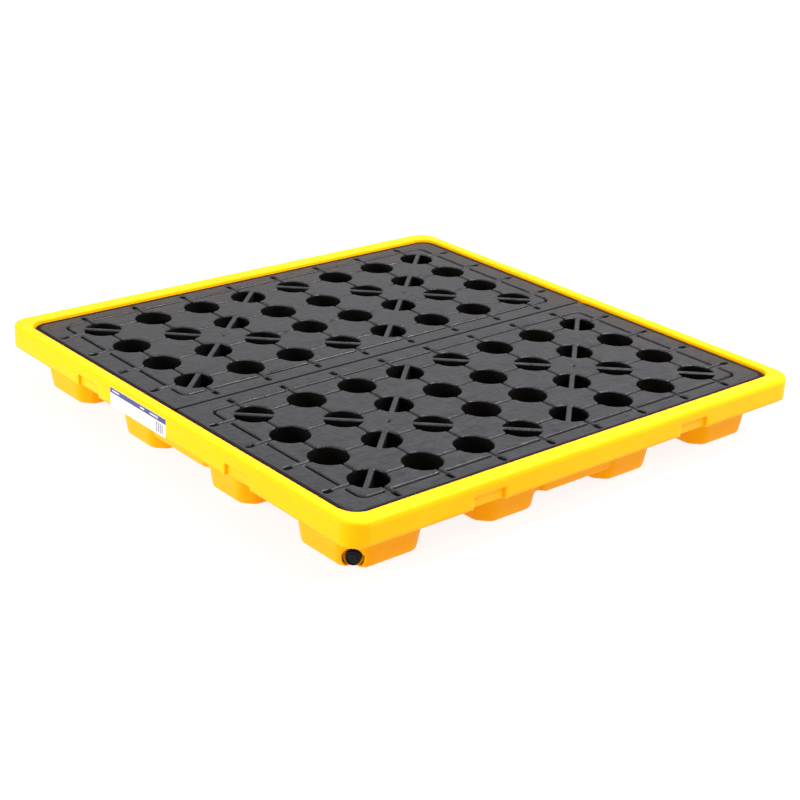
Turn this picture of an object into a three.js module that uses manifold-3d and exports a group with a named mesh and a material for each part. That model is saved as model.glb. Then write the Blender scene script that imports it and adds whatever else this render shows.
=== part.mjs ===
// Low four-drum spill containment deck: a moulded sump tray on sixteen hollow feet, two lift-out
// grates, and a threaded drain plug in one corner foot.
// Millimetres, +Z up, origin on the floor under the centre of the tray. +X runs along the split
// between the grates, the label is on the -X face and the drain plug is in the -X -Y foot.

import * as THREE from 'three';
import { mergeVertices } from 'three/addons/utils/BufferGeometryUtils.js';
import Module from 'manifold-3d';

const wasm = await Module();
wasm.setup();

// ---------------------------------------------------------------- driving dimensions

const LENGTH = 1250;            // along X
const WIDTH = 1235;             // along Y
const HEIGHT = 140;             // floor to the top of the rim
const CORNER_RADIUS = 55;       // plan radius of the rim's corners
const WALL = 5;                 // thickness of every moulded wall and floor
const GAP = 0.3;                // clearance between pieces that rest on each other

const SKIRT_BOTTOM = 87;        // lower edge of the rim's outer skirt
const RIM_EDGE = 9;             // rounding of the rim's outer top edge
const OPENING = [1192, 1160];   // opening inside the rim, above the ledge
const OPENING_RADIUS = 57;
const LEDGE = 105;              // shelf that carries the edges of the grates
const TRAY = [1164, 1148];      // outside of the tray below the ledge
const TRAY_RADIUS = 45;
const DECK = 70;                // underside of the tray over the fork channels
const TROUGH = 36;              // underside of the troughs between the middle feet

const FOOT_DRAFT = 11;          // growth of each foot side from the floor up to DECK
const FOOT_CHAMFER = 26;        // plan chamfer of a foot's corners
const CORNER_CHAMFER = 36;      // the same, on the outermost corner of a corner foot
const FEET_X = [[-570, -390], [-243, -88], [88, 243], [390, 570]];
const FEET_Y = [[-554, -375], [-231, -85], [85, 231], [375, 554]];
const TROUGH_HALF = [95, 92];   // half widths of the troughs that run along Y and along X
const TROUGH_END = [576, 568];  // how far the troughs reach along X and along Y
const TROUGH_DRAFT = 6;
const TROUGH_CHAMFER = 2;

const POCKET = [80, 25, 9];     // joining pocket in the skirt: width, height, depth
const POCKET_X = 292;           // pocket centres on the two faces along X
const POCKET_Y = 270;           // pocket centres on the two faces along Y
const LABEL = [208, 42, 0.4];   // width, height, thickness
const LABEL_AT = [76, 110];     // centre of the label along Y and up Z

const GRATE_TOP = 133;
const GRATE_OUTER = [592.5, 576.5];   // half length of a grate, and its far edge in Y
const GRATE_SPLIT = 1;                // distance of a grate's near edge from the middle
const GRATE_PLATE = 8;
const GRATE_SKIRT = 7;                // thickness of the edge that stands on the ledge
const GRATE_RADII = [54, 16];         // corner radii beside the rim and beside the split
const HOLE_RADIUS = 41;
const COLLAR_WALL = 4;                // tube that hangs below the plate round every hole
const COLLAR_LOW = 88;
const PITCH = [133.4, 120.6];         // hole spacing along X and along Y
const COLUMNS = 8;
const ROWS = 4;
const RIB = 12;                       // width of the diagonal bars across the holes
const LEG = [22, 17];                 // outer and inner radius of a grate's legs
const LEG_COLUMNS = [-4, -2, 0, 2, 4];

const DRAIN_AT = [-553, -536, 21];    // middle of the drain at the foot's chamfer
const DRAIN_POCKET = [20, 30];        // pocket round the plug's head: radius, reach outwards
const SEAT_DEPTH = 7.5;               // pocket floor, measured in from DRAIN_AT
const INSERT = [14.6, 12.5, 23];      // drain insert: outer radius, bore radius, length
const BOSS_RADIUS = 22;
const BORE_REACH = 60;                // how far in the insert's hole is cut
const GASKET = [14.4, 12.8, 2.5];     // outer radius, inner radius, thickness
const GASKET_EDGE = 0.6;              // how far the gasket's faces fall away at their edges
const PLUG_HEAD = [15, 6.5];          // radius, thickness
const PLUG_SHANK = [12, 17];          // radius, length below the head's underside
const PLUG_EDGE = [1.5, 1];           // chamfers of the head and of the shank's end
const PLUG_GROOVE = [12.5, 2.2];      // ring sunk into the head round the drive: radius, depth
const PLUG_HEXAGON = 8.8;             // corner radius of the raised hexagonal drive
const SEGMENTS = 5;                   // segments in a quarter circle
const HOLE_SIDES = 16;
const DRAIN_SIDES = 24;

const MATERIALS = {
  sump: { color: 0xf9c80e, roughness: 0.5, metalness: 0 },
  grate: { color: 0x3a3a3d, roughness: 0.55, metalness: 0 },
  fitting: { color: 0x1b1b1e, roughness: 0.5, metalness: 0 },
  gasket: { color: 0x101012, roughness: 0.85, metalness: 0 },
  label: { color: 0xf2f3f6, roughness: 0.6, metalness: 0 },
};

// ---------------------------------------------------------------- solids and booleans

function solid(geometry) {
  const bare = geometry.clone();
  bare.deleteAttribute('normal');
  bare.deleteAttribute('uv');
  const merged = mergeVertices(bare, 1e-4);
  const vertProperties = new Float32Array(merged.attributes.position.array);
  const triVerts = new Uint32Array(merged.index.array);
  return new wasm.Manifold(new wasm.Mesh({ numProp: 3, vertProperties, triVerts }));
}

function geometryOf(manifold) {
  const { vertProperties, triVerts } = manifold.getMesh();
  const geometry = new THREE.BufferGeometry();
  geometry.setAttribute('position', new THREE.BufferAttribute(new Float32Array(vertProperties), 3));
  geometry.setIndex(new THREE.BufferAttribute(new Uint32Array(triVerts), 1));
  geometry.computeVertexNormals();
  return geometry;
}

const join = (solids) => solids.reduce((all, next) => all.add(next));

// Rectangle from (x0, y0) to (x1, y1); radii go round from the low corner, anticlockwise.
function roundedRect([x0, y0], [x1, y1], radii) {
  const [a, b, c, d] = radii;
  const shape = new THREE.Shape();
  shape.moveTo(x0 + a, y0);
  shape.lineTo(x1 - b, y0);
  shape.absarc(x1 - b, y0 + b, b, -Math.PI / 2, 0);
  shape.lineTo(x1, y1 - c);
  shape.absarc(x1 - c, y1 - c, c, 0, Math.PI / 2);
  shape.lineTo(x0 + d, y1);
  shape.absarc(x0 + d, y1 - d, d, Math.PI / 2, Math.PI);
  shape.lineTo(x0, y0 + a);
  shape.absarc(x0 + a, y0 + a, a, Math.PI, 1.5 * Math.PI);
  return shape;
}

function prism(shape, low, high) {
  const geometry = new THREE.ExtrudeGeometry(shape, {
    depth: high - low, bevelEnabled: false, curveSegments: SEGMENTS,
  });
  return geometry.translate(0, 0, low);
}

function block([x0, y0, z0], [x1, y1, z1]) {
  const geometry = new THREE.BoxGeometry(x1 - x0, y1 - y0, z1 - z0);
  return solid(geometry.translate((x0 + x1) / 2, (y0 + y1) / 2, (z0 + z1) / 2));
}

function centredPrism([length, width], radius, low, high) {
  const corner = [length / 2, width / 2];
  const shape = roundedRect(corner.map((v) => -v), corner, Array(4).fill(radius));
  return solid(prism(shape, low, high));
}

// Rectangle with chamfered corners, extruded upwards, whose sides lean out by `growth` at the top.
function draftedBlock([x0, x1], [y0, y1], chamfers, low, high, growth) {
  const [a, b, c, d] = chamfers;
  const shape = new THREE.Shape([
    [x0 + a, y0], [x1 - b, y0], [x1, y0 + b], [x1, y1 - c],
    [x1 - c, y1], [x0 + d, y1], [x0, y1 - d], [x0, y0 + a],
  ].map(([x, y]) => new THREE.Vector2(x, y)));
  const geometry = prism(shape, low, high);
  const middle = [(x0 + x1) / 2, (y0 + y1) / 2];
  const grow = [1 + (2 * growth) / (x1 - x0), 1 + (2 * growth) / (y1 - y0)];
  const points = geometry.attributes.position;
  for (let i = 0; i < points.count; i += 1) {
    if (points.getZ(i) > (low + high) / 2) {
      points.setX(i, middle[0] + (points.getX(i) - middle[0]) * grow[0]);
      points.setY(i, middle[1] + (points.getY(i) - middle[1]) * grow[1]);
    }
  }
  return solid(geometry);
}

// Solid of revolution about the drain's axis; the profile holds [radius, distance out] pairs.
function aboutDrain(profile) {
  const outline = [...profile, profile[0]].map(([r, s]) => new THREE.Vector2(r, s));
  const geometry = new THREE.LatheGeometry(outline, DRAIN_SIDES);
  return solid(placeOnDrain(geometry));
}

function placeOnDrain(geometry) {
  geometry.rotateZ(Math.PI / 2);
  geometry.rotateZ(Math.PI / 4);
  return geometry.translate(...DRAIN_AT);
}

// ---------------------------------------------------------------- the sump tray

function rimBlock() {
  const corner = [LENGTH / 2, WIDTH / 2];
  const shape = roundedRect(corner.map((v) => -v), corner, Array(4).fill(CORNER_RADIUS));
  const bevelled = new THREE.ExtrudeGeometry(shape, {
    depth: HEIGHT - SKIRT_BOTTOM, bevelThickness: RIM_EDGE, bevelSize: RIM_EDGE,
    bevelOffset: -RIM_EDGE, bevelSegments: 3, curveSegments: SEGMENTS,
  }).translate(0, 0, SKIRT_BOTTOM - RIM_EDGE);
  const keep = block([-LENGTH, -WIDTH, SKIRT_BOTTOM], [LENGTH, WIDTH, HEIGHT + 1]);
  return solid(bevelled).intersect(keep);
}

function skirtHollow() {
  const outer = [LENGTH - 2 * WALL, WIDTH - 2 * WALL];
  const inner = OPENING.map((v) => v + 2 * WALL);
  const low = SKIRT_BOTTOM - 1;
  const high = HEIGHT - WALL;
  const core = centredPrism(inner, OPENING_RADIUS + WALL, low - 1, high + 1);
  return centredPrism(outer, CORNER_RADIUS - WALL, low, high).subtract(core);
}

// Each pocket has its centre on a face of the skirt and the unit direction out of that face.
function pocketPlaces() {
  const places = [];
  for (const side of [-1, 1]) {
    for (const along of [-1, 1]) {
      places.push({ at: [side * LENGTH / 2, along * POCKET_Y], out: [side, 0] });
      places.push({ at: [along * POCKET_X, side * WIDTH / 2], out: [0, side] });
    }
  }
  return places;
}

// Block of a pocket from `depth` inside its face to `proud` outside it.
function pocketBlock({ at, out }, width, depth, proud, low, high) {
  const inner = out.map((o, k) => at[k] - o * depth);
  const outer = out.map((o, k) => at[k] + o * proud);
  const spread = out.map((o) => (o === 0 ? width / 2 : 0));
  const lows = [0, 1].map((k) => Math.min(inner[k], outer[k]) - spread[k]);
  const highs = [0, 1].map((k) => Math.max(inner[k], outer[k]) + spread[k]);
  return block([...lows, low], [...highs, high]);
}

// Chamfers of foot (i, j), anticlockwise from its low corner.
function footChamfers(i, j) {
  const outer = [[0, 0], [3, 0], [3, 3], [0, 3]];
  return outer.map(([a, b]) => (a === i && b === j ? CORNER_CHAMFER : FOOT_CHAMFER));
}

function feet(inset, low) {
  const top = DECK + inset + 1;
  const slope = FOOT_DRAFT / DECK;
  const cut = inset * (2 - Math.SQRT2);
  const all = [];
  FEET_X.forEach(([x0, x1], i) => FEET_Y.forEach(([y0, y1], j) => {
    const start = inset - slope * low;
    const chamfers = footChamfers(i, j).map((c) => c - cut);
    all.push(draftedBlock([x0 + start, x1 - start], [y0 + start, y1 - start],
      chamfers, low, top, slope * (top - low)));
  }));
  return join(all);
}

function troughs(inset) {
  const low = TROUGH + inset;
  const top = DECK + inset + 1;
  const [halfX, halfY] = TROUGH_HALF.map((v) => v - inset);
  const [endX, endY] = TROUGH_END.map((v) => v - inset);
  const nearX = FEET_X[3][0] + inset;
  const nearY = FEET_Y[3][0] + inset;
  const midX = FEET_X[2][1] - inset;
  const midY = FEET_Y[2][1] - inset;
  const spans = [
    [[-halfX, halfX], [nearY, endY]], [[-halfX, halfX], [-endY, -nearY]],
    [[nearX, endX], [-halfY, halfY]], [[-endX, -nearX], [-halfY, halfY]],
    [[-halfX, halfX], [-midY, midY]], [[-midX, midX], [-halfY, halfY]],
  ];
  return join(spans.map(([x, y]) => draftedBlock(x, y, Array(4).fill(TROUGH_CHAMFER),
    low, top, TROUGH_DRAFT)));
}

function sumpBase() {
  const openingOuter = OPENING.map((v) => v + 2 * WALL);
  const trayInner = TRAY.map((v) => v - 2 * WALL);
  const pockets = pocketPlaces();
  const pocketLow = SKIRT_BOTTOM;
  const pocketHigh = SKIRT_BOTTOM + POCKET[1];
  const outside = join([
    rimBlock().subtract(skirtHollow()),
    centredPrism(openingOuter, OPENING_RADIUS + WALL, LEDGE - WALL, LEDGE + 1),
    centredPrism(TRAY, TRAY_RADIUS, DECK, LEDGE),
    feet(0, 0),
    troughs(0),
    ...pockets.map((p) => pocketBlock(p, POCKET[0] + 2 * WALL, POCKET[2] + WALL, -1,
      pocketLow, pocketHigh + WALL)),
  ]);
  const inside = join([
    centredPrism(OPENING, OPENING_RADIUS, LEDGE, HEIGHT + 1),
    centredPrism(trayInner, TRAY_RADIUS - WALL, DECK + WALL, LEDGE + 1),
    feet(WALL, WALL),
    troughs(WALL),
  ]);
  const footSolid = draftedBlock(FEET_X[0], FEET_Y[0], footChamfers(0, 0), 0, DECK, FOOT_DRAFT);
  const seat = -SEAT_DEPTH;
  const boss = aboutDrain([[0, seat - INSERT[2]], [BOSS_RADIUS, seat - INSERT[2]],
    [BOSS_RADIUS, 0], [0, 0]]).intersect(footSolid);
  const [pocketRadius, pocketReach] = DRAIN_POCKET;
  const drainCut = aboutDrain([[0, -BORE_REACH], [INSERT[0] + GAP, -BORE_REACH],
    [INSERT[0] + GAP, seat], [pocketRadius, seat], [pocketRadius, pocketReach], [0, pocketReach]]);
  const labelCut = labelBlock(LABEL[2] + GAP, GAP);
  let tray = outside.subtract(inside).add(boss).subtract(drainCut).subtract(labelCut);
  pockets.forEach((p) => {
    tray = tray.subtract(pocketBlock(p, POCKET[0], POCKET[2], 1, pocketLow - 1, pocketHigh));
  });
  return tray;
}

// ---------------------------------------------------------------- label and drain fittings

function labelBlock(depth, margin) {
  const face = -LENGTH / 2;
  const [y, z] = LABEL_AT;
  const [halfY, halfZ] = [LABEL[0] / 2 + margin, LABEL[1] / 2 + margin];
  return block([face, y - halfY, z - halfZ], [face + depth, y + halfY, z + halfZ]);
}

function drainInsert() {
  const [outer, bore, length] = INSERT;
  const seat = -SEAT_DEPTH;
  return aboutDrain([[bore, seat - length], [outer, seat - length], [outer, seat], [bore, seat]]);
}

function drainGasket() {
  const [outer, inner, thick] = GASKET;
  const low = GAP - SEAT_DEPTH;
  const high = low + thick;
  const bulge = (outer + inner) / 2;
  return aboutDrain([[inner, low + GASKET_EDGE], [bulge, low], [outer, low + GASKET_EDGE],
    [outer, high - GASKET_EDGE], [bulge, high], [inner, high - GASKET_EDGE]]);
}

function drainPlug() {
  const [head, thick] = PLUG_HEAD;
  const [shank, length] = PLUG_SHANK;
  const [headEdge, shankEdge] = PLUG_EDGE;
  const [groove, sunk] = PLUG_GROOVE;
  const low = 2 * GAP + GASKET[2] - SEAT_DEPTH;
  const high = low + thick;
  const end = low - length;
  const body = aboutDrain([[0, end], [shank - shankEdge, end], [shank, end + shankEdge],
    [shank, low], [head, low], [head, high - headEdge], [head - headEdge, high],
    [groove, high], [groove, high - sunk], [0, high - sunk]]);
  const hexagon = new THREE.CylinderGeometry(PLUG_HEXAGON, PLUG_HEXAGON, thick - 1, 6);
  hexagon.translate(0, (low + 1 + high) / 2, 0);
  return body.add(solid(placeOnDrain(hexagon)));
}

// ---------------------------------------------------------------- the grates

// Grate on the +Y side (side = 1) or on the -Y side (side = -1).
function grate(side) {
  const [halfX, farY] = GRATE_OUTER;
  const middleY = (farY + GRATE_SPLIT) / 2;
  const [rimRadius, splitRadius] = GRATE_RADII;
  const foot = LEDGE + GAP;
  const outline = (inset, low, high) => solid(prism(roundedRect(
    [-halfX + inset, GRATE_SPLIT + inset], [halfX - inset, farY - inset],
    [splitRadius, splitRadius, rimRadius, rimRadius].map((r) => Math.max(r - inset, 4)),
  ), low, high));
  const plateLow = GRATE_TOP - GRATE_PLATE;
  const places = [];
  for (let i = 0; i < COLUMNS; i += 1) {
    for (let j = 0; j < ROWS; j += 1) {
      places.push([(i - (COLUMNS - 1) / 2) * PITCH[0], middleY + (j - (ROWS - 1) / 2) * PITCH[1]]);
    }
  }
  const round = (radius, low, high) => places.map((at) => upright(at, radius, low, high));
  const legs = LEG_COLUMNS.map((k) => [k * PITCH[0], middleY]);
  const legLow = DECK + WALL + GAP;
  const bars = [-2, 2].flatMap((k) => [1, -1].map((way) => diagonalBar(k * PITCH[0], middleY, way)));
  const body = join([
    outline(0, plateLow, GRATE_TOP),
    outline(0, foot, plateLow + 1).subtract(outline(GRATE_SKIRT, foot - 1, plateLow + 2)),
    ...round(HOLE_RADIUS + COLLAR_WALL, COLLAR_LOW, plateLow + 1),
    ...legs.map((at) => upright(at, LEG[0], legLow, plateLow + 1)),
  ]).subtract(join(round(HOLE_RADIUS, COLLAR_LOW - 1, GRATE_TOP + 1)));
  const bores = join(legs.map((at) => upright(at, LEG[1], legLow - 1, plateLow)));
  const open = join([body, ...bars]).subtract(bores);
  return side > 0 ? open : open.rotate(0, 0, 180);
}

function upright([x, y], radius, low, high) {
  const geometry = new THREE.CylinderGeometry(radius, radius, high - low, HOLE_SIDES);
  return solid(geometry.rotateX(Math.PI / 2).translate(x, y, (low + high) / 2));
}

// Bar along a diagonal of a block of four by four holes centred on (x, y).
function diagonalBar(x, y, way) {
  const run = [3 * PITCH[0], 3 * PITCH[1] * way];
  const length = Math.hypot(...run) + 2 * HOLE_RADIUS + RIB;
  const height = GRATE_TOP - LEDGE - GAP;
  const bar = new THREE.BoxGeometry(length, RIB, height);
  bar.rotateZ(Math.atan2(run[1], run[0]));
  return solid(bar.translate(x, y, GRATE_TOP - height / 2));
}

// ---------------------------------------------------------------- the assembly

function part(name, manifold, material) {
  const mesh = new THREE.Mesh(geometryOf(manifold), new THREE.MeshStandardMaterial(MATERIALS[material]));
  mesh.name = name;
  return mesh;
}

const pallet = new THREE.Group();
pallet.name = 'spill_pallet';

const drain = new THREE.Group();
drain.name = 'drain';
drain.add(
  part('drain_insert', drainInsert(), 'fitting'),
  part('drain_gasket', drainGasket(), 'gasket'),
  part('drain_plug', drainPlug(), 'fitting'),
);

pallet.add(
  part('sump_base', sumpBase(), 'sump'),
  part('front_grate', grate(-1), 'grate'),
  part('rear_grate', grate(1), 'grate'),
  part('label', labelBlock(LABEL[2], 0), 'label'),
  drain,
);

export default pallet;
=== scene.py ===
"""Looks of the low four-drum spill containment deck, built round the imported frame.

Fields are signed distances in millimetres in the frame's own axes, negative inside the material.
Each one is meshed once, so every edge and corner has its moulded rounding in the mesh itself.
"""

import functools
import math

import bmesh
import bpy
import numpy as np
import openvdb
from mathutils import Matrix, Vector


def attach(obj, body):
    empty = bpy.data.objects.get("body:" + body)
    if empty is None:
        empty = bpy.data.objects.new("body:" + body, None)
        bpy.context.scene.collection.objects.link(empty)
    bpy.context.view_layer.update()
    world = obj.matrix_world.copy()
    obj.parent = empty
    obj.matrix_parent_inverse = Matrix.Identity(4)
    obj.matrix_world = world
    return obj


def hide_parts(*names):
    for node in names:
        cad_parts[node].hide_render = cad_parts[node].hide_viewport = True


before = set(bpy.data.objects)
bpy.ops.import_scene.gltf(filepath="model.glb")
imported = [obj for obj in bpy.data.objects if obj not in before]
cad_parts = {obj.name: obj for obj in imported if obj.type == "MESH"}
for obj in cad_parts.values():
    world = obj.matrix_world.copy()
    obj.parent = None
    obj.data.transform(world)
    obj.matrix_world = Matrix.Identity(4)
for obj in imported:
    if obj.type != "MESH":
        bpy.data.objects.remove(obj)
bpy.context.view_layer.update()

MM = 0.001

# ------------------------------------------------------------------ dimensions, millimetres

# the rim and the skirt that hangs from it
HALF = (625.0, 617.5)
HEIGHT = 140.0
CORNER_RADIUS = 45.0
WALL = 5.0
SKIRT_BOTTOM = 87.0
SKIRT_EDGE = 2.4
RIM_EDGE = 9.0
OPENING = (596.0, 580.0)
OPENING_RADIUS = 40.0
LEDGE = 105.0

# the tray, its troughs and its feet
TRAY = (582.0, 574.0)
TRAY_RADIUS = 45.0
DECK = 70.0
DECK_FILLET = 9.0
TROUGH = 36.0
TROUGH_HALF = (95.0, 92.0)
TROUGH_END = (576.0, 568.0)
TROUGH_FILLET = 14.0
DRAFT = 11.0 / 70.0
FOOT_CHAMFER = 26.0
CORNER_CHAMFER = 36.0
FOOT_EDGE = 9.0
SOLE_EDGE = 8.0
FEET_X = ((88.0, 243.0), (390.0, 570.0))
FEET_Y = ((85.0, 231.0), (375.0, 554.0))

# the joining pockets in the skirt: half width, height and depth, and their places
POCKET = (40.0, 25.0, 9.0)
POCKET_EDGE = 1.8
POCKET_X = 292.0
POCKET_Y = 270.0

# the label on the -X face, and the shallow recess that it lies in
LABEL_Y = (-28.0, 180.0)
LABEL_Z = (89.0, 131.0)
LABEL_RADIUS = 3.0
RECESS_MARGIN = 0.6
RECESS_DEPTH = 0.5
RECESS_RADIUS = 4.0

# what is printed on the label
BAND_Z = (118.5, 130.0)
STROKE_Z = (122.5, 126.2)
STROKES_Y = ((145.0, 172.0), (50.0, 66.0), (0.0, 30.0))
RULES = 4
RULE_LOW = 95.5
RULE_SPACING = 5.2
RULE_HEIGHT = 1.8
RULE_Y = (25.0, 160.0)
RULE_STAGGER = 14.0
BARS_Y = (-20.5, 6.5)
BARS_Z = (93.5, 115.0)
BARS_PER_METRE = 150

# a grate: plate, edge that stands on the ledge, holes with collars, crossed bars and legs
GRATE_TOP = 133.0
GRATE_PLATE = 8.0
GRATE_SKIRT = 7.0
GRATE_EDGE = 2.5
GRATE_X = 591.5
GRATE_Y = (1.0, 575.5)
GRATE_RADII = (36.0, 18.0)
GRATE_LOW = 105.3
# faces this far below a grate's top get the near-black copy of its material: painted shade
PAINTED_SHADE_BELOW = 3.2
HOLE = 41.0
COLLAR = 4.0
COLLAR_LOW = 88.0
PITCH = (133.4, 120.6)
BAR = 6.0
BAR_SUNK = 0.6
LEG = (22.0, 17.0)
LEG_LOW = 75.3

# the marks in a grate's top: grooves, border groove, drain pits, hole mouths and dimples
GROOVE = 3.0
GROOVE_LIP = 1.6
GROOVE_END = 15.0
GROOVE_ABOVE_TOP = 0.3
DEPTH_SCALE = 0.7
BORDER = (530.0, 240.0)
BORDER_RADIUS = 17.0
BORDER_GROOVE = 3.7
BORDER_GAP = 12.0
BORDER_GAPS_PAST = (500.0, 215.0)
PIT_X = 563.0
PIT_Y = 261.0
PIT = 6.2
PIT_HALF = 5.0
PIT_DEPTH = 5.0
MOUTH = 4.2
DIMPLE = 6.0
DIMPLE_ABOVE_TOP = 2.0

# the drain, in the -X -Y corner foot
DRAIN_AT = (-553.0, -536.0, 21.0)
SEAT = -7.5
BUSHING_DEPTH = 23.0
BUSHING = (12.5, 14.6)
BOSS = 22.0
DRAIN_POCKET = 19.0
DRAIN_BORE = 14.9
SEAL = (12.8, 14.4)
SEAL_HEIGHT = 2.5
THREAD = (11.0, 12.0)
THREAD_PITCH = 1.9
THREAD_TURNS = 8
CAP = 14.2
CAP_HEIGHT = 6.5

# where the fields are sampled, and how fine the meshes are
SUMP_STEP = 2.5
SUMP_LOW = (-632.5, -625.0, -10.0)
SUMP_HIGH = 150.0
SUMP_TRIANGLES = 180000
DRAIN_CELLS = (60, 60, 36)
LABEL_CELLS = 12
GRATE_STEP = (1.5, 1.5, 2.0)
GRATE_FROM = (-600.0, -6.0, 72.0)
GRATE_TO = (600.0, 585.0, 138.0)
GRATE_TRIANGLES = 120000
FAR = 1e3

# ------------------------------------------------------------------ fields


def axis(low, high, step):
    """Sample places from low to high, a whole number of steps apart."""
    return np.arange(int(round(low / step)), int(round(high / step)) + 1) * np.float32(step)


def rounded_rect(x, y, half_x, half_y, radius):
    """Plan distance to a rectangle with rounded corners, centred on the origin."""
    qx = np.abs(x) - (half_x - radius)
    qy = np.abs(y) - (half_y - radius)
    outside = np.hypot(np.maximum(qx, 0), np.maximum(qy, 0))
    return outside + np.minimum(np.maximum(qx, qy), 0) - radius


def both(a, b, radius=0.0):
    """Where both fields are inside, with the edge between them rounded."""
    if radius <= 0:
        return np.maximum(a, b)
    sharp = np.minimum(-radius, np.maximum(a, b))
    return sharp + np.hypot(np.maximum(a + radius, 0), np.maximum(b + radius, 0))


def either(a, b, radius=0.0):
    """Where either field is inside, with the inner corner between them filleted."""
    if radius <= 0:
        return np.minimum(a, b)
    sharp = np.maximum(radius, np.minimum(a, b))
    return sharp - np.hypot(np.maximum(radius - a, 0), np.maximum(radius - b, 0))


def sample(field, low, step, points):
    """Trilinear values of a field at points."""
    at = (points - low) / step
    cell = np.clip(np.floor(at).astype(int), 0, np.array(field.shape) - 2)
    f = at - cell
    total = np.zeros(len(points))
    for corner in range(8):
        d = np.array([corner & 1, corner >> 1 & 1, corner >> 2 & 1])
        weight = np.prod(np.where(d, f, 1 - f), axis=1)
        i, j, k = (cell + d).T
        total += weight * field[i, j, k]
    return total


def slope_of(field, low, step, points):
    """Unit normals of a field at points."""
    slope = np.zeros_like(points)
    for k in range(3):
        off = np.zeros(3)
        off[k] = 0.5 * step[k]
        ahead = sample(field, low, step, points + off)
        slope[:, k] = (ahead - sample(field, low, step, points - off)) / step[k]
    return slope / np.maximum(np.linalg.norm(slope, axis=1, keepdims=True), 1e-9)


def mesh_from_field(name, field, low, step, triangles):
    """Closed mesh of a field's zero surface, in metres, with its normals from the field."""
    low, step = np.array(low, float), np.array(step, float)
    grid = openvdb.FloatGrid(background=10.0)
    grid.copyFromArray(np.ascontiguousarray(field, dtype=np.float32))
    points, three, four = grid.convertToPolygons(isovalue=0.0, adaptivity=0.3)
    mesh = bpy.data.meshes.new(name)
    points = (points * step + low) * MM
    mesh.from_pydata(points.tolist(), [], three.tolist() + four.tolist())
    obj = bpy.data.objects.new(name, mesh)
    bpy.context.scene.collection.objects.link(obj)
    thin = obj.modifiers.new("thin", "DECIMATE")
    thin.ratio = triangles / (len(three) + 2 * len(four))
    done = obj.evaluated_get(bpy.context.evaluated_depsgraph_get())
    mesh = bpy.data.meshes.new_from_object(done)
    obj.modifiers.clear()
    obj.data = mesh
    mesh.name = name
    mesh.validate()
    mesh.shade_smooth()
    places = np.empty(len(mesh.vertices) * 3, np.float32)
    mesh.vertices.foreach_get("co", places)
    normals = slope_of(field, low, step, places.reshape(-1, 3).astype(float) / MM)
    mesh.normals_split_custom_set_from_vertices(normals.tolist())
    return obj


def mirrored(quarter, axes):
    """A field sampled from zero upwards, with its mirror image in front of it along each axis."""
    for k in axes:
        flipped = np.flip(quarter, k)
        keep = [slice(None)] * 3
        keep[k] = slice(0, -1)
        quarter = np.concatenate([flipped[tuple(keep)], quarter], k)
    return quarter


# ------------------------------------------------------------------ the sump tray


def drafted(x, y, z, span_x, span_y, chamfer, edge):
    """Octagonal block whose sides lean out upwards, with no top or bottom."""
    mid_x, mid_y = sum(span_x) / 2, sum(span_y) / 2
    qx = np.abs(x - mid_x) - (span_x[1] - mid_x)
    qy = np.abs(y - mid_y) - (span_y[1] - mid_y)
    lean = math.hypot(1, DRAFT)
    side = (np.maximum(qx, qy) - DRAFT * z) / lean
    slant = ((qx + qy + chamfer) / math.sqrt(2) - DRAFT * z) / lean
    return both(side, slant, edge)


def feet_field(x, y, z):
    """The four feet of one quarter; the outermost has a larger chamfer on its outer corner."""
    feet = []
    for span_x in FEET_X:
        for span_y in FEET_Y:
            chamfer = FOOT_CHAMFER
            if span_x is FEET_X[1] and span_y is FEET_Y[1]:
                outside = (x > sum(span_x) / 2) & (y > sum(span_y) / 2)
                chamfer = np.where(outside, CORNER_CHAMFER, FOOT_CHAMFER).astype(np.float32)
            foot = drafted(x, y, z, span_x, span_y, chamfer, FOOT_EDGE)
            feet.append(both(foot, -z, SOLE_EDGE))
    return functools.reduce(np.minimum, feet)


def tray_field(x, y, z):
    """The tray's outer shape as a solid: feet, troughs between them, and the deck over both."""
    body = feet_field(x, y, z)
    half_x, half_y = TROUGH_HALF
    near_x, near_y = FEET_X[1][0], FEET_Y[1][0]
    mid_x, mid_y = FEET_X[0][1], FEET_Y[0][1]
    above = z - TROUGH
    for span_x, span_y in (
        ((-half_x, half_x), (near_y, TROUGH_END[1])),
        ((near_x, TROUGH_END[0]), (-half_y, half_y)),
        ((-half_x, half_x), (-mid_y, mid_y)),
        ((-mid_x, mid_x), (-half_y, half_y)),
    ):
        trough = both(drafted(x, y, above, span_x, span_y, 2, 3), -above, 5)
        body = either(body, trough, TROUGH_FILLET)
    body = either(body, DECK - z, DECK_FILLET)
    return both(body, rounded_rect(x, y, *TRAY, TRAY_RADIUS), 4)


def rim_field(outer, opening, z):
    """The rim and its skirt, hollow from below."""
    rim = both(outer, z - HEIGHT, RIM_EDGE)
    rim = both(rim, SKIRT_BOTTOM - z, SKIRT_EDGE)
    hollow = both(outer + WALL, WALL - opening, 3)
    hollow = both(hollow, z - (HEIGHT - WALL), 4)
    return both(rim, -hollow, 1.5)


def pocketed(solid, x, y, z):
    """The solid with a joining pocket in each of a quarter's two faces, and a wall round each."""
    for across, inward in (
        (np.abs(y - POCKET_Y), HALF[0] - x),
        (np.abs(x - POCKET_X), HALF[1] - y),
    ):
        cup = both(across - POCKET[0] - WALL, inward - POCKET[2] - WALL, 3)
        cup = both(cup, z - SKIRT_BOTTOM - POCKET[1] - WALL, 3)
        cup = both(both(cup, SKIRT_BOTTOM - z, 2), -inward)
        solid = either(solid, cup)
        bite = both(across - POCKET[0], inward - POCKET[2], 3)
        bite = both(bite, z - SKIRT_BOTTOM - POCKET[1], 3)
        solid = both(solid, -bite, POCKET_EDGE)
    return solid


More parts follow.
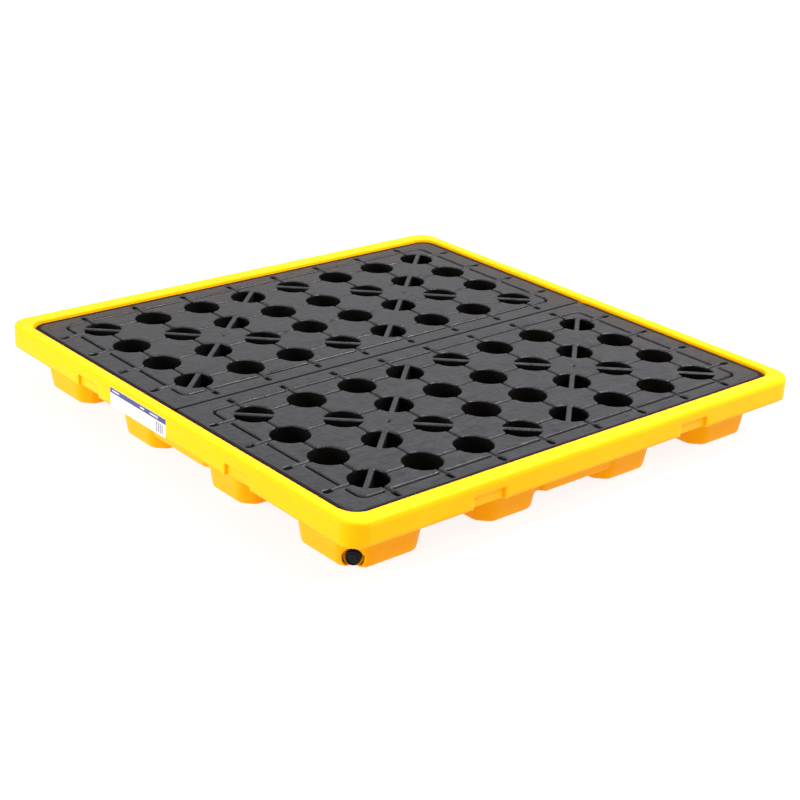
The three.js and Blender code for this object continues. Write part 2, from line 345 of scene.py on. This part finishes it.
def sump_field():
    """One quarter of the tray with its rim, for X and Y from zero upwards."""
    x = axis(0, -SUMP_LOW[0], SUMP_STEP)[:, None, None]
    y = axis(0, -SUMP_LOW[1], SUMP_STEP)[None, :, None]
    z = axis(SUMP_LOW[2], SUMP_HIGH, SUMP_STEP)[None, None, :]
    body = tray_field(x, y, z)
    outer = rounded_rect(x, y, *HALF, CORNER_RADIUS)
    opening = rounded_rect(x, y, *OPENING, OPENING_RADIUS)
    ledge = both(opening - WALL, LEDGE - WALL - z, 3)
    solid = both(body, z - LEDGE)
    solid = either(solid, both(ledge, z - HEIGHT + 1), 3)
    solid = either(rim_field(outer, opening, z), solid)
    solid = pocketed(solid, x, y, z)
    # the inside follows the outside a wall's thickness in, with a rounded lip at the ledge
    void = either(both(opening, LEDGE - z), body + WALL)
    lip = either(both(opening, LEDGE - z, 3), body + WALL, 3)
    return both(solid, -np.minimum(void, lip), 3.5)


def drain_coordinates(x, y, z):
    """Distance out along the drain's axis, and distance from that axis."""
    out = -((x - DRAIN_AT[0]) + (y - DRAIN_AT[1])) / math.sqrt(2)
    across = ((x - DRAIN_AT[0]) - (y - DRAIN_AT[1])) / math.sqrt(2)
    return out, np.hypot(across, z - DRAIN_AT[2])


def add_drain_boss(field):
    """Add the drain's boss, pocket and bore to the whole tray's field, in place."""
    n, m, top = DRAIN_CELLS
    x, y, z = (SUMP_LOW[k] + SUMP_STEP * np.arange(DRAIN_CELLS[k]) for k in range(3))
    x, y, z = x[:, None, None], y[None, :, None], z[None, None, :]
    out, radius = drain_coordinates(x, y, z)
    foot = drafted(-x, -y, z, FEET_X[1], FEET_Y[1], CORNER_CHAMFER, FOOT_EDGE)
    foot = both(foot, -z, SOLE_EDGE)
    boss = both(both(radius - BOSS, -(out - SEAT + BUSHING_DEPTH), 2), foot)
    part = either(field[:n, :m, :top], boss)
    part = both(part, -both(radius - DRAIN_POCKET, SEAT - out, 1.5), 6)
    part = both(part, -both(radius - DRAIN_BORE, out))
    field[:n, :m, :top] = part


def add_label_recess(field):
    """Cut the label's shallow recess into the whole tray's field, in place."""
    x = SUMP_LOW[0] + SUMP_STEP * np.arange(LABEL_CELLS)[:, None, None]
    y = SUMP_LOW[1] + SUMP_STEP * np.arange(field.shape[1])[None, :, None]
    z = SUMP_LOW[2] + SUMP_STEP * np.arange(field.shape[2])[None, None, :]
    mid_y, mid_z = sum(LABEL_Y) / 2, sum(LABEL_Z) / 2
    half_y = LABEL_Y[1] - mid_y + RECESS_MARGIN
    half_z = LABEL_Z[1] - mid_z + RECESS_MARGIN
    plan = rounded_rect(y - mid_y, z - mid_z, half_y, half_z, RECESS_RADIUS)
    recess = both(plan, x + HALF[0] - RECESS_DEPTH)
    field[:LABEL_CELLS] = both(field[:LABEL_CELLS], -recess)


def build_sump():
    field = mirrored(sump_field(), (0, 1))
    add_drain_boss(field)
    add_label_recess(field)
    return mesh_from_field("sump_tray", field, SUMP_LOW, (SUMP_STEP,) * 3, SUMP_TRIANGLES)


# ------------------------------------------------------------------ the grates


def segment(x, y, a, b):
    """Plan distance to the line from a to b."""
    run = (b[0] - a[0], b[1] - a[1])
    length = run[0] ** 2 + run[1] ** 2
    t = np.clip(((x - a[0]) * run[0] + (y - a[1]) * run[1]) / length, 0, 1)
    return np.hypot(x - a[0] - t * run[0], y - a[1] - t * run[1])


def nearest_hole(x, y, middle):
    """Plan distance to the wall of the hole in whose square a point lies."""
    column = np.clip(np.floor(x / PITCH[0]), 0, 3)
    row = np.clip(np.floor((y - middle) / PITCH[1] + 2), 0, 3) - 2
    return np.hypot(x - (column + 0.5) * PITCH[0], y - middle - (row + 0.5) * PITCH[1]) - HOLE


def crossed_bars(x, y, z, middle):
    """The two diagonal bars through the middle of a drum place."""
    centre = 2 * PITCH[0]
    run = math.hypot(*PITCH)
    bars = []
    for way in (1, -1):
        across = ((x - centre) * PITCH[1] * way - (y - middle) * PITCH[0]) / run
        along = ((x - centre) * PITCH[0] + (y - middle) * PITCH[1] * way) / run
        bars.append(both(np.abs(across) - BAR, np.abs(along) - (1.5 * run + HOLE + BAR)))
    bars = functools.reduce(np.minimum, bars)
    return both(both(bars, z - GRATE_TOP + BAR_SUNK, 3.0), GRATE_LOW - z)


def grate_field():
    """The +X half of the rear grate."""
    x = axis(0, GRATE_TO[0], GRATE_STEP[0])[:, None, None]
    y = axis(GRATE_FROM[1], GRATE_TO[1], GRATE_STEP[1])[None, :, None]
    z = axis(GRATE_FROM[2], GRATE_TO[2], GRATE_STEP[2])[None, None, :]
    middle = sum(GRATE_Y) / 2
    half_y = (GRATE_Y[1] - GRATE_Y[0]) / 2
    plan = np.where(
        y > middle,
        rounded_rect(x, y - middle, GRATE_X, half_y, GRATE_RADII[0]),
        rounded_rect(x, y - middle, GRATE_X, half_y, GRATE_RADII[1]),
    )
    plate = both(both(plan, z - GRATE_TOP, GRATE_EDGE), GRATE_TOP - GRATE_PLATE - z)
    skirt = both(both(plan, -(plan + GRATE_SKIRT)), both(GRATE_LOW - z, z - GRATE_TOP + 3), 1)
    hole = nearest_hole(x, y, middle)
    collar = both(hole - COLLAR, COLLAR_LOW - z, 2)
    collar = both(collar, z - GRATE_TOP + 2)
    leg_at = np.round(x / (2 * PITCH[0])) * 2 * PITCH[0]
    leg = np.hypot(x - leg_at, y - middle)
    legs = both(both(leg - LEG[0], LEG_LOW - z, 2), z - GRATE_TOP + 2)
    solid = np.minimum(np.minimum(plate, skirt), np.minimum(collar, legs))
    solid = both(solid, -hole, GRATE_EDGE)
    # the bars stand in the holes with a small fillet where they meet the collars
    solid = either(solid, crossed_bars(x, y, z, middle), 1.5)
    solid = both(solid, -both(leg - LEG[1], z - (GRATE_TOP - GRATE_PLATE)), 1)
    return both(solid, -marks(x, y, z, middle, hole), GROOVE_LIP)


def marks(x, y, z, middle, hole):
    """Grooves between the holes, the border groove, the drain pits and the centre dimples."""
    rows = [middle + (j - 1.5) * PITCH[1] for j in range(4)]
    columns = [(i + 0.5) * PITCH[0] for i in range(4)]
    lattice = np.full(np.broadcast_shapes(x.shape, y.shape), FAR, np.float32)
    pits = lattice.copy()
    mouths = lattice.copy()
    for row in rows:
        end = (PIT_X - GROOVE_END, row)
        lattice = np.minimum(lattice, segment(x, y, (0, row), end))
        pit = segment(x, y, (PIT_X - PIT_HALF, row), (PIT_X + PIT_HALF, row))
        pits = np.minimum(pits, pit)
    for column in columns:
        low, high = middle - PIT_Y + GROOVE_END, middle + PIT_Y - GROOVE_END
        lattice = np.minimum(lattice, segment(x, y, (column, low), (column, high)))
        for end in (middle - PIT_Y, middle + PIT_Y):
            pit = segment(x, y, (column, end - PIT_HALF), (column, end + PIT_HALF))
            pits = np.minimum(pits, pit)
        for row in rows:
            for dx, dy in ((HOLE, 0), (-HOLE, 0), (0, HOLE), (0, -HOLE)):
                mouths = np.minimum(mouths, np.hypot(x - column - dx, y - row - dy))
    # the grooves stop at the holes, and the border groove stops short of each pit
    lattice = np.where(hole[:, :, :1] < -2, FAR, lattice)
    border = np.abs(rounded_rect(x, y - middle, *BORDER, BORDER_RADIUS))
    for row in rows:
        near = BORDER_GAP - np.abs(y - row)
        border = np.maximum(border, np.where(x > BORDER_GAPS_PAST[0], near, -FAR))
    for column in columns:
        near = BORDER_GAP - np.abs(x - column)
        beyond = np.abs(y - middle) > BORDER_GAPS_PAST[1]
        border = np.maximum(border, np.where(beyond, near, -FAR))
    down = (z - GRATE_TOP - GROOVE_ABOVE_TOP) * DEPTH_SCALE
    line = np.minimum(np.hypot(lattice, down) - GROOVE, np.hypot(border, down) - BORDER_GROOVE)
    pit = both(pits - PIT, GRATE_TOP - PIT_DEPTH - z, 1)
    mouth = np.hypot(mouths, (z - GRATE_TOP) * DEPTH_SCALE) - MOUTH
    centre = np.hypot(x - 2 * PITCH[0], y - middle)
    dimple = np.hypot(centre, z - GRATE_TOP - DIMPLE_ABOVE_TOP) - DIMPLE
    return np.minimum(np.minimum(line, mouth), np.minimum(pit, dimple))


def build_grates():
    """The rear grate, and the front one, which is the same moulding turned half way round.

    Faces well below the top are given the second material slot, the matt one, a near-black copy
    that paints shade into the holes and under the plate.
    """
    field = mirrored(grate_field(), (0,))
    rear = mesh_from_field("rear_grate_panel", field, GRATE_FROM, GRATE_STEP, GRATE_TRIANGLES)
    mesh = rear.data
    count = len(mesh.polygons)
    middle = np.empty(count * 3, np.float32)
    mesh.polygons.foreach_get("center", middle)
    under = (middle.reshape(count, 3)[:, 2] < (GRATE_TOP - PAINTED_SHADE_BELOW) * MM).astype(np.int32)
    mesh.materials.append(None)
    mesh.materials.append(None)
    mesh.polygons.foreach_set("material_index", under)
    front = bpy.data.objects.new("front_grate_panel", mesh.copy())
    bpy.context.scene.collection.objects.link(front)
    front.data.transform(Matrix.Rotation(math.pi, 4, "Z"))
    return rear, front


# ------------------------------------------------------------------ label and drain fittings


def lathe(name, profile, sides=60):
    """Closed solid of revolution on the drain's axis; profile rows are (radius, out, hexagonal).

    A profile that starts on the axis ends there too, and any other closes on itself.
    """
    out = Vector((-1, -1, 0)).normalized()
    up = Vector((0, 0, 1))
    side = up.cross(out)
    centre = Vector(DRAIN_AT)
    bm = bmesh.new()
    rings = []
    for radius, along, hexagonal in profile:
        if radius == 0:
            rings.append([bm.verts.new((centre + out * along) * MM)])
            continue
        ring = []
        for k in range(sides):
            angle = 2 * math.pi * k / sides
            r = radius
            if hexagonal:
                r *= math.cos(math.pi / 6) / math.cos(angle % (math.pi / 3) - math.pi / 6)
            spoke = side * math.cos(angle) + up * math.sin(angle)
            ring.append(bm.verts.new((centre + out * along + spoke * r) * MM))
        rings.append(ring)
    pairs = list(zip(rings, rings[1:]))
    if len(rings[0]) > 1:
        pairs.append((rings[-1], rings[0]))
    for a, b in pairs:
        for k in range(sides):
            n = (k + 1) % sides
            corners = [a[k % len(a)], a[n % len(a)], b[n % len(b)], b[k % len(b)]]
            corners = list(dict.fromkeys(corners))
            if len(corners) > 2:
                bm.faces.new(corners)
    bmesh.ops.recalc_face_normals(bm, faces=bm.faces)
    mesh = bpy.data.meshes.new(name)
    bm.to_mesh(mesh)
    bm.free()
    obj = bpy.data.objects.new(name, mesh)
    bpy.context.scene.collection.objects.link(obj)
    mesh.shade_smooth()
    mesh.set_sharp_from_angle(angle=math.radians(38))
    return obj


def rounded(points, radius, steps=3):
    """A profile with every corner but the first and last rounded."""
    made = [points[0]]
    for before, at, after in zip(points, points[1:], points[2:]):
        a, p, b = Vector(before[:2]), Vector(at[:2]), Vector(after[:2])
        reach = min(radius, (a - p).length * 0.45, (b - p).length * 0.45)
        start, end = p + (a - p).normalized() * reach, p + (b - p).normalized() * reach
        for k in range(steps + 1):
            t = k / steps
            q = start * (1 - t) ** 2 + p * 2 * t * (1 - t) + end * t**2
            made.append((q.x, q.y, at[2]))
    made.append(points[-1])
    return made


def build_drain():
    """The bushing in the boss, the seal on its face, and the plug with a ringed shank."""
    inner, outer = BUSHING
    end = SEAT - BUSHING_DEPTH
    profile = [(inner, end, 0), (outer, end, 0), (outer, SEAT, 0), (inner, SEAT, 0)]
    insert = lathe("drain_bushing", rounded(profile, 0.6))

    inner, outer = SEAL
    low = SEAT + 0.3
    high = low + SEAL_HEIGHT
    profile = [
        (inner, low + 1.25, 0),
        (inner, low, 0),
        (outer, low, 0),
        (outer, high, 0),
        (inner, high, 0),
        (inner, low + 1.3, 0),
    ]
    gasket = lathe("drain_seal", rounded(profile, 1.0, 4))

    base = high + 0.3
    top = base + CAP_HEIGHT
    root, crest = THREAD
    shank = [(0, base - 17, 0), (10.4, base - 17, 0)]
    for k in range(THREAD_TURNS):
        s = base - 16 + THREAD_PITCH * k
        shank += [(root, s, 0), (crest, s + 0.6, 0), (crest, s + 1.0, 0), (root, s + 1.6, 0)]
    shank.append((root, base, 0))
    # the head has a raised rim, a ring sunk inside it and a raised hexagonal drive
    head = [
        (CAP - 0.4, base, 0),
        (CAP, base + 0.4, 0),
        (CAP, top - 0.2, 0),
        (CAP - 0.6, top, 0),
        (CAP - 2.0, top, 0),
        (CAP - 2.4, top - 2.2, 0),
        (8.9, top - 2.2, 1),
        (8.8, top, 1),
        (7.9, top, 1),
    ]
    middle = [(5.0, top - 0.5, 0), (0, top - 0.6, 0)]
    plug = lathe("drain_plug_cap", [*shank, *rounded(head, 0.9, 4), *middle])
    return insert, gasket, plug


def build_label():
    """A thin film with rounded corners, its front face flush with the rim's side."""
    corners = [
        (LABEL_Y[0], LABEL_Z[0]),
        (LABEL_Y[1], LABEL_Z[0]),
        (LABEL_Y[1], LABEL_Z[1]),
        (LABEL_Y[0], LABEL_Z[1]),
    ]
    middle = Vector((sum(LABEL_Y) / 2, sum(LABEL_Z) / 2))
    corner_steps = 6
    ring = []
    for k, corner in enumerate(corners):
        c = Vector(corner)
        c.x -= math.copysign(LABEL_RADIUS, c.x - middle.x)
        c.y -= math.copysign(LABEL_RADIUS, c.y - middle.y)
        for i in range(corner_steps + 1):
            angle = math.pi * (1 + k / 2 + i / (2 * corner_steps))
            ring.append(c + LABEL_RADIUS * Vector((math.cos(angle), math.sin(angle))))
    bm = bmesh.new()
    layers = []
    for inset, depth in ((0.0, 0.45), (0.0, 0.1), (0.15, 0.0)):
        layer = []
        for at in ring:
            p = at + (middle - at).normalized() * inset
            layer.append(bm.verts.new(Vector((-HALF[0] + depth, p.x, p.y)) * MM))
        layers.append(layer)
    n = len(ring)
    bm.faces.new(layers[0])
    bm.faces.new(layers[-1])
    for a, b in zip(layers, layers[1:]):
        for k in range(n):
            bm.faces.new([a[k], a[(k + 1) % n], b[(k + 1) % n], b[k]])
    bmesh.ops.recalc_face_normals(bm, faces=bm.faces)
    mesh = bpy.data.meshes.new("rim_label")
    bm.to_mesh(mesh)
    bm.free()
    obj = bpy.data.objects.new("rim_label", mesh)
    bpy.context.scene.collection.objects.link(obj)
    return obj


# ------------------------------------------------------------------ materials


class Nodes:
    """Short calls for building one material's node tree."""

    def __init__(self, name):
        self.material = bpy.data.materials.new(name)
        self.material.use_nodes = True
        self.tree = self.material.node_tree
        self.shader = self.tree.nodes["Principled BSDF"]
        place = self.tree.nodes.new("ShaderNodeTexCoord")
        self.place = place.outputs["Object"]
        geometry = self.tree.nodes.new("ShaderNodeNewGeometry")
        self.pointiness = geometry.outputs["Pointiness"]

    def link(self, source, socket):
        self.tree.links.new(source, socket)

    def put(self, value, socket):
        """Link an output, or set a plain value, on a socket."""
        if isinstance(value, bpy.types.NodeSocket):
            self.link(value, socket)
        else:
            socket.default_value = value

    def noise(self, scale, detail=4.0, roughness=0.55, stretch=(1, 1, 1), distortion=0.0):
        """Noise fixed to the object, with scale in lumps per metre."""
        mapping = self.tree.nodes.new("ShaderNodeMapping")
        mapping.inputs["Scale"].default_value = stretch
        self.link(self.place, mapping.inputs["Vector"])
        node = self.tree.nodes.new("ShaderNodeTexNoise")
        node.inputs["Scale"].default_value = scale
        node.inputs["Detail"].default_value = detail
        node.inputs["Roughness"].default_value = roughness
        node.inputs["Distortion"].default_value = distortion
        self.link(mapping.outputs["Vector"], node.inputs["Vector"])
        return node.outputs["Fac"]

    def ramp(self, value, low, high, out_low=0.0, out_high=1.0):
        """The value from low to high as a straight, clamped run from out_low to out_high."""
        node = self.tree.nodes.new("ShaderNodeMapRange")
        self.put(value, node.inputs["Value"])
        node.inputs["From Min"].default_value = low
        node.inputs["From Max"].default_value = high
        node.inputs["To Min"].default_value = out_low
        node.inputs["To Max"].default_value = out_high
        return node.outputs["Result"]

    def math(self, operation, a, b=0.0):
        node = self.tree.nodes.new("ShaderNodeMath")
        node.operation = operation
        self.put(a, node.inputs[0])
        self.put(b, node.inputs[1])
        return node.outputs["Value"]

    def mix(self, factor, a, b):
        """Colour a where the factor is 0 and colour b where it is 1."""
        node = self.tree.nodes.new("ShaderNodeMix")
        node.data_type = "RGBA"
        self.put(factor, node.inputs["Factor"])
        self.put(a, node.inputs[6])
        self.put(b, node.inputs[7])
        return node.outputs[2]

    def split(self, vector):
        node = self.tree.nodes.new("ShaderNodeSeparateXYZ")
        self.link(vector, node.inputs["Vector"])
        return node.outputs

    def bump(self, height, strength, distance, normal=None):
        """Bump of a height in metres, on top of an earlier bump if there is one."""
        node = self.tree.nodes.new("ShaderNodeBump")
        node.inputs["Strength"].default_value = strength
        node.inputs["Distance"].default_value = distance
        self.link(height, node.inputs["Height"])
        if normal is not None:
            self.link(normal, node.inputs["Normal"])
        return node.outputs["Normal"]

    def set(self, **values):
        """Put values on the shader's sockets, and return the finished material."""
        for name, value in values.items():
            self.put(value, self.shader.inputs[name.replace("_", " ")])
        return self.material


def colour(r, g, b):
    """sRGB 0 to 255 as linear colour."""
    def linear(v):
        v /= 255
        return v / 12.92 if v <= 0.04045 else ((v + 0.055) / 1.055) ** 2.4
    return (linear(r), linear(g), linear(b), 1.0)


def yellow_plastic():
    """Moulded polyethylene: faint clouds, paler edges as a painted highlight, fine scuffs, and a
    deeper orange low down as painted shade.
    """
    m = Nodes("moulded_yellow")
    cloud = m.noise(5, 3)
    fine = m.noise(60, 4)
    base = m.mix(m.ramp(cloud, 0.35, 0.65), colour(248, 170, 3), colour(251, 176, 4))
    base = m.mix(m.ramp(fine, 0.45, 0.7, 0.0, 0.25), base, colour(244, 162, 3))
    # convex edges are painted paler: a painted highlight along the roundings
    edge = m.ramp(m.pointiness, 0.52, 0.6, 0.0, 0.35)
    base = m.mix(edge, base, colour(255, 190, 40))
    # deeper orange towards the bottom: painted shade on the feet under the skirt
    low = m.ramp(m.split(m.place)[2], 0.035, 0.085, 0.55, 0.0)
    base = m.mix(low, base, colour(240, 146, 2))
    scratch = m.noise(90, 2, 0.5, (0.15, 1.0, 1.0), 0.4)
    mark = m.ramp(scratch, 0.68, 0.74, 0.0, 0.2)
    base = m.mix(mark, base, colour(255, 196, 60))
    rough = m.math("ADD", m.ramp(fine, 0.3, 0.7, 0.38, 0.5), m.math("MULTIPLY", mark, 0.4))
    grain = m.noise(900, 2, 0.5)
    normal = m.bump(grain, 0.12, 0.0004)
    normal = m.bump(m.noise(30, 2), 0.15, 0.0012, normal)
    m.shader.inputs["Specular IOR Level"].default_value = 0.14
    m.shader.inputs["Specular Tint"].default_value = (1.0, 0.8, 0.2, 1.0)
    return m.set(Base_Color=base, Roughness=rough, Normal=normal)


def grate_plastic():
    """The grates' tops: recycled polyethylene with flow streaks both ways."""
    m = Nodes("recycled_black")
    flow = m.noise(14, 5, 0.6, (1.0, 3.5, 1.0), 1.6)
    cross = m.noise(20, 5, 0.6, (3.2, 1.0, 1.0), 1.2)
    fine = m.noise(240, 3, 0.6, (1.0, 0.35, 1.0))
    base = m.mix(m.ramp(flow, 0.35, 0.68), colour(11, 11, 15), colour(40, 40, 46))
    base = m.mix(m.ramp(cross, 0.45, 0.7, 0.0, 0.5), base, colour(52, 52, 58))
    base = m.mix(m.ramp(fine, 0.62, 0.75, 0.0, 0.35), base, colour(64, 64, 71))
    streak = m.math("ADD", flow, m.math("MULTIPLY", cross, 0.7))
    rough = m.ramp(streak, 0.55, 1.15, 0.24, 0.5)
    # the sides of holes and grooves, a band along the plate's outer edge and the edge at the
    # split are matt and painted near black: painted shade
    x, y, z = m.split(m.place)
    corner = GRATE_RADII[0] * MM
    across = m.math("SUBTRACT", m.math("ABSOLUTE", x), GRATE_X * MM - corner)
    along = m.math("SUBTRACT", m.math("ABSOLUTE", y), GRATE_Y[1] * MM - corner)
    square = m.math("ADD", m.math("POWER", m.math("MAXIMUM", across, 0.0), 2.0),
                    m.math("POWER", m.math("MAXIMUM", along, 0.0), 2.0))
    inside = m.math("MINIMUM", m.math("MAXIMUM", across, along), 0.0)
    border = m.math("SUBTRACT", corner, m.math("ADD", m.math("SQRT", square), inside))
    on_top = m.ramp(z, (GRATE_TOP - 3.5) * MM, (GRATE_TOP - 1.2) * MM)
    gloss_outside_painted_shade = m.math("MULTIPLY", on_top, m.ramp(border, 9.0 * MM, 13.0 * MM))
    gloss_outside_painted_shade = m.math("MULTIPLY", gloss_outside_painted_shade, m.ramp(m.math("ABSOLUTE", y), 2.6 * MM, 4.2 * MM))
    # near black outside the mask: painted shade in the hollows, along the rim and at the split
    base = m.mix(gloss_outside_painted_shade, colour(2, 2, 3), base)
    rough = m.math("ADD", rough, m.math("MULTIPLY", m.math("SUBTRACT", 1.0, gloss_outside_painted_shade), 0.6))
    normal = m.bump(fine, 0.15, 0.0006)
    normal = m.bump(flow, 0.4, 0.004, normal)
    normal = m.bump(cross, 0.4, 0.003, normal)
    m.shader.inputs["Specular IOR Level"].default_value = 0.26
    return m.set(Base_Color=base, Roughness=rough, Normal=normal)


def shaded_plastic():
    """A darker, matt copy of the grate material for the walls of the holes and the ribbed
    undersides of the grates: painted shade.
    """
    m = Nodes("recycled_black_shade_painted")
    cloud = m.noise(30, 4)
    # near black: painted shade in the holes and under the plate
    base = m.mix(m.ramp(cloud, 0.35, 0.65), colour(2, 2, 3), colour(7, 7, 8))
    normal = m.bump(m.noise(400, 3), 0.2, 0.0006)
    m.shader.inputs["Specular IOR Level"].default_value = 0.06
    return m.set(Base_Color=base, Roughness=m.ramp(cloud, 0.3, 0.7, 0.75, 0.9), Normal=normal)


def nylon(name, low, high):
    """Black moulded nylon between two shades, paler on its edges."""
    m = Nodes(name)
    cloud = m.noise(180, 4)
    base = m.mix(cloud, colour(*low), colour(*high))
    edge = m.ramp(m.pointiness, 0.52, 0.6, 0.0, 0.5)
    base = m.mix(edge, base, colour(60, 60, 66))
    normal = m.bump(m.noise(1200, 2), 0.2, 0.0003)
    m.shader.inputs["Specular IOR Level"].default_value = 0.2
    return m.set(Base_Color=base, Roughness=m.ramp(cloud, 0.3, 0.7, 0.35, 0.5), Normal=normal)


def rubber():
    """The seal's matt rubber."""
    m = Nodes("seal_rubber")
    cloud = m.noise(300, 4)
    base = m.mix(cloud, colour(18, 18, 20), colour(30, 30, 33))
    normal = m.bump(m.noise(1500, 2), 0.3, 0.0002)
    return m.set(Base_Color=base, Roughness=0.8, Normal=normal)


def label_vinyl():
    """White film with a blue band, ruled grey lines and a barred block, and no lettering."""
    m = Nodes("printed_vinyl")
    x, y, z = m.split(m.place)
    paper = m.mix(m.noise(40, 3), colour(196, 192, 192), colour(208, 204, 203))
    grey = colour(150, 150, 164)

    def between(value, low, high):
        """1 where the value, in metres, lies between two places in millimetres."""
        past_low = m.math("GREATER_THAN", value, low * MM)
        return m.math("MULTIPLY", past_low, m.math("LESS_THAN", value, high * MM))

    band = m.mix(m.noise(60, 2), colour(34, 46, 96), colour(52, 66, 120))
    base = m.mix(between(z, *BAND_Z), paper, band)
    for span in STROKES_Y:
        stroke = m.math("MULTIPLY", between(z, *STROKE_Z), between(y, *span))
        base = m.mix(m.math("MULTIPLY", stroke, 0.75), base, paper)
    for k in range(RULES):
        height = RULE_LOW + RULE_SPACING * k
        rule = between(z, height, height + RULE_HEIGHT)
        end = RULE_Y[1] - RULE_STAGGER * (k % 3)
        rule = m.math("MULTIPLY", rule, between(y, RULE_Y[0], end))
        base = m.mix(m.math("MULTIPLY", rule, 0.45), base, grey)
    bars = m.math("FRACT", m.math("MULTIPLY", y, BARS_PER_METRE))
    bars = m.math("GREATER_THAN", bars, 0.45)
    bars = m.math("MULTIPLY", bars, between(y, *BARS_Y))
    bars = m.math("MULTIPLY", bars, between(z, *BARS_Z))
    base = m.mix(bars, base, colour(96, 98, 124))
    return m.set(Base_Color=base, Roughness=m.ramp(m.noise(80, 3), 0.3, 0.7, 0.3, 0.42))


# ------------------------------------------------------------------ the assembly


def give(obj, materials, body, slot, *nodes):
    """Give a piece its materials, the body it rides on and the nodes it stands for; the slot is
    not used.
    """
    mesh = obj.data
    for i, material in enumerate(materials):
        if i < len(mesh.materials):
            mesh.materials[i] = material
        else:
            mesh.materials.append(material)
    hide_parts(*nodes)
    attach(obj, body)


def assemble():
    """Build the seven pieces, each in place of its own CAD node."""
    black = (grate_plastic(), shaded_plastic())
    bushing = nylon("bushing_nylon", (8, 8, 10), (18, 18, 21))
    cap = nylon("plug_nylon", (5, 5, 8), (14, 14, 19))
    insert, gasket, plug = build_drain()
    rear, front = build_grates()
    give(build_sump(), [yellow_plastic()], "sump", "sump_yellow", "sump_base")
    give(rear, black, "rear_grate", "grate_black", "rear_grate")
    give(front, black, "front_grate", "grate_black", "front_grate")
    give(insert, [bushing], "sump", "fitting_black", "drain_insert")
    give(gasket, [rubber()], "gasket", "gasket_rubber", "drain_gasket")
    give(plug, [cap], "plug", "fitting_black", "drain_plug")
    give(build_label(), [label_vinyl()], "sump", "label_film", "label")


# ------------------------------------------------------------------ camera, floor and light


CAMERA_AT = (-2.28574, -2.59320, 1.47537)
CAMERA_TURN = (67.0563, -2.6521, -40.4993)
CAMERA_LENS = 75.03
FLOOR_SIZE = 40
WARM = (1.0, 0.94, 0.8)


def add_camera():
    """A camera at CAMERA_AT, turned by CAMERA_TURN degrees."""
    data = bpy.data.cameras.new("camera")
    data.lens = CAMERA_LENS
    data.sensor_width = 36
    data.clip_end = 100
    camera = bpy.data.objects.new("camera", data)
    camera.location = CAMERA_AT
    camera.rotation_euler = [math.radians(a) for a in CAMERA_TURN]
    bpy.context.scene.collection.objects.link(camera)
    bpy.context.scene.camera = camera


def add_floor():
    """A wide pale floor that glows a little, so that it stays even to its far edge."""
    bm = bmesh.new()
    bmesh.ops.create_grid(bm, x_segments=2, y_segments=2, size=FLOOR_SIZE)
    mesh = bpy.data.meshes.new("floor")
    bm.to_mesh(mesh)
    bm.free()
    floor = bpy.data.objects.new("floor", mesh)
    bpy.context.scene.collection.objects.link(floor)
    m = Nodes("floor_white")
    tone = m.mix(m.noise(2, 3), colour(88, 88, 89), colour(94, 94, 94))
    m.shader.inputs["Emission Color"].default_value = (1, 1, 1, 1)
    m.shader.inputs["Emission Strength"].default_value = 0.86
    mesh.materials.append(m.set(Base_Color=tone, Roughness=0.9))


def add_area(name, location, size, power, tint=(1, 1, 1), aim=(0, 0, 0.1)):
    """A rectangular light, with its size in metres and its power in watts, facing aim."""
    data = bpy.data.lights.new(name, "AREA")
    data.shape = "RECTANGLE"
    data.size, data.size_y = size
    data.energy = power
    data.color = tint
    light = bpy.data.objects.new(name, data)
    light.location = location
    light.rotation_euler = (Vector(aim) - Vector(location)).to_track_quat("-Z", "Y").to_euler()
    bpy.context.scene.collection.objects.link(light)


def add_lights():
    """A white surround, a soft ceiling, two warm side lights and a strip from the right."""
    world = bpy.data.worlds.new("studio")
    world.use_nodes = True
    background = world.node_tree.nodes["Background"]
    background.inputs["Color"].default_value = (1, 1, 1, 1)
    background.inputs["Strength"].default_value = 0.85
    bpy.context.scene.world = world
    add_area("ceiling", (0, 0, 6), (16, 16), 190)
    add_area("left", (-4.0, 1.2, 1.0), (3, 1.4), 180, WARM)
    add_area("front", (1.8, -3.4, 3.9), (2.5, 1.4), 150, WARM)
    add_area("right_strip", (1.9, -0.9, 3.7), (0.5, 1.6), 230, aim=(-0.4, -0.4, 0.1))
    bpy.context.scene.view_settings.view_transform = "Standard"


assemble()
add_camera()
add_floor()
add_lights()
